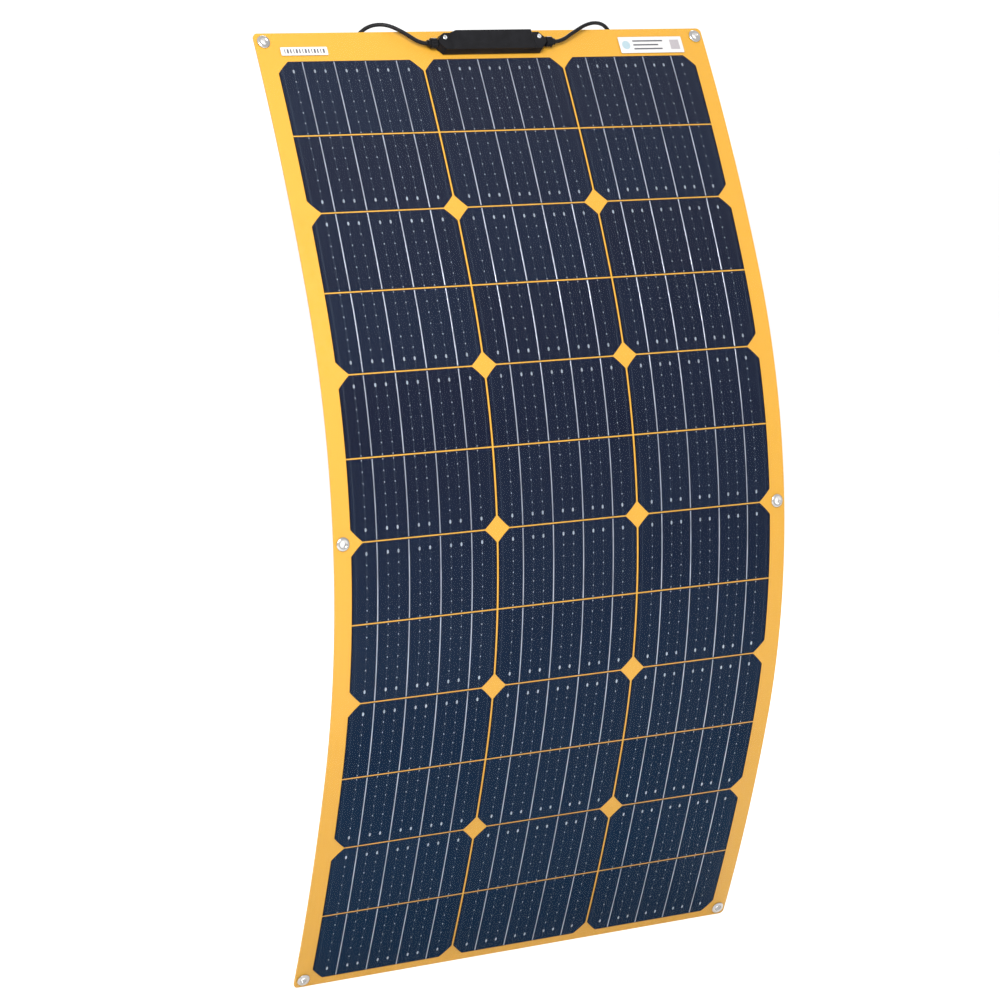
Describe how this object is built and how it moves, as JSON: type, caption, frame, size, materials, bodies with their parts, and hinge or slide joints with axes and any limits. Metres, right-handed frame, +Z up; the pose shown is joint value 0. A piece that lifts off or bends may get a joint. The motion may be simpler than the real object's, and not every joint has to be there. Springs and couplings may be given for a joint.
{
  "type": "flexible solar panel",
  "caption": "Thin bendable solar sheet with half-cut cells on a yellow back sheet, eyelets round its edge, and a slim junction box with two leads at the top.",
  "frame": {"origin": "in the middle of the laminate's thickness, midway between the two side eyelets", "axes": "+Z up along the sheet at its middle, front of the sheet facing -Y, +X to the right seen from the front"},
  "size_m": [0.51, 0.1686, 0.9564],
  "materials": {
    "yellow_laminate": "satin",
    "silicon_cell": "satin",
    "tinned_ribbon": "satin",
    "clear_film": "gloss",
    "eyelet_steel": "polished",
    "black_plastic": "satin",
    "black_rubber": "matte",
    "screw_steel": "satin",
    "terminal_brass": "satin",
    "copper_core": "satin",
    "label_paper": "satin",
    "cable_jacket": "satin",
    "tie_plastic": "satin",
    "connector_plastic": "matte"
  },
  "bodies": {
    "bottom": {"back_sheet_bottom": "yellow_laminate", "half_cells_bottom": "silicon_cell", "cell_ribbons_bottom": "tinned_ribbon", "front_sheet_bottom": "clear_film", "bus_ribbons_bottom": "tinned_ribbon", "bottom_eyelets": "eyelet_steel", "bottom_eyelet_washers": "eyelet_steel"},
    "lower_2": {"back_sheet_lower_2": "yellow_laminate", "half_cells_lower_2": "silicon_cell", "cell_ribbons_lower_2": "tinned_ribbon", "front_sheet_lower_2": "clear_film"},
    "lower_1": {"back_sheet_lower_1": "yellow_laminate", "half_cells_lower_1": "silicon_cell", "cell_ribbons_lower_1": "tinned_ribbon", "front_sheet_lower_1": "clear_film"},
    "middle": {"back_sheet_middle": "yellow_laminate", "half_cells_middle": "silicon_cell", "cell_ribbons_middle": "tinned_ribbon", "front_sheet_middle": "clear_film", "side_eyelets": "eyelet_steel", "side_eyelet_washers": "eyelet_steel"},
    "upper_1": {"back_sheet_upper_1": "yellow_laminate", "half_cells_upper_1": "silicon_cell", "cell_ribbons_upper_1": "tinned_ribbon", "front_sheet_upper_1": "clear_film"},
    "upper_2": {"back_sheet_upper_2": "yellow_laminate", "half_cells_upper_2": "silicon_cell", "cell_ribbons_upper_2": "tinned_ribbon", "front_sheet_upper_2": "clear_film"},
    "top": {"back_sheet_top": "yellow_laminate", "half_cells_top": "silicon_cell", "cell_ribbons_top": "tinned_ribbon", "front_sheet_top": "clear_film", "bus_ribbons_top": "tinned_ribbon", "top_eyelets": "eyelet_steel", "top_eyelet_washers": "eyelet_steel", "box_adhesive_pad": "black_rubber", "junction_box_base": "black_plastic", "junction_box_lid": "black_plastic", "lid_gasket": "black_rubber", "lid_screws": "screw_steel", "terminals": "terminal_brass", "bypass_diode": "black_plastic", "lead_cores": "copper_core", "cable_glands": "black_plastic", "serial_label": "label_paper", "rating_label": "label_paper", "positive_lead": "cable_jacket", "positive_lead_coil": "cable_jacket", "positive_coil_tie": "tie_plastic", "positive_connector_nut": "connector_plastic", "positive_connector_body": "connector_plastic", "positive_contact": "copper_core", "negative_lead": "cable_jacket", "negative_lead_coil": "cable_jacket", "negative_coil_tie": "tie_plastic", "negative_connector_nut": "connector_plastic", "negative_connector_body": "connector_plastic", "negative_contact": "copper_core"}
  },
  "joints": [
    {"name": "flex_upper_1", "type": "hinge", "parent": "middle", "child": "upper_1", "pos_m": [0, 0.00435, 0.07959], "axis": [-1, 0, 0], "range_deg": [-12.52, 7.51], "stiffness_Nm_per_rad": 30},
    {"name": "flex_upper_2", "type": "hinge", "parent": "upper_1", "child": "upper_2", "pos_m": [0, 0.03886, 0.23499], "axis": [-1, 0, 0], "range_deg": [-8.68, 5.21], "stiffness_Nm_per_rad": 30},
    {"name": "flex_top", "type": "hinge", "parent": "upper_2", "child": "top", "pos_m": [0, 0.09647, 0.38367], "axis": [-1, 0, 0], "range_deg": [-4.82, 2.89], "stiffness_Nm_per_rad": 30},
    {"name": "flex_lower_1", "type": "hinge", "parent": "middle", "child": "lower_1", "pos_m": [0, 0.00435, -0.07959], "axis": [1, 0, 0], "range_deg": [-12.52, 7.51], "stiffness_Nm_per_rad": 30},
    {"name": "flex_lower_2", "type": "hinge", "parent": "lower_1", "child": "lower_2", "pos_m": [0, 0.03886, -0.23499], "axis": [1, 0, 0], "range_deg": [-8.68, 5.21], "stiffness_Nm_per_rad": 30},
    {"name": "flex_bottom", "type": "hinge", "parent": "lower_2", "child": "bottom", "pos_m": [0, 0.09647, -0.38367], "axis": [1, 0, 0], "range_deg": [-4.82, 2.89], "stiffness_Nm_per_rad": 30}
  ],
  "couplings": [
    {"joint": "flex_upper_2", "follows": "flex_upper_1", "ratio": 0.6921},
    {"joint": "flex_top", "follows": "flex_upper_1", "ratio": 0.3842},
    {"joint": "flex_lower_1", "follows": "flex_upper_1", "ratio": 1},
    {"joint": "flex_lower_2", "follows": "flex_upper_1", "ratio": 0.6921},
    {"joint": "flex_bottom", "follows": "flex_upper_1", "ratio": 0.3842}
  ]
}
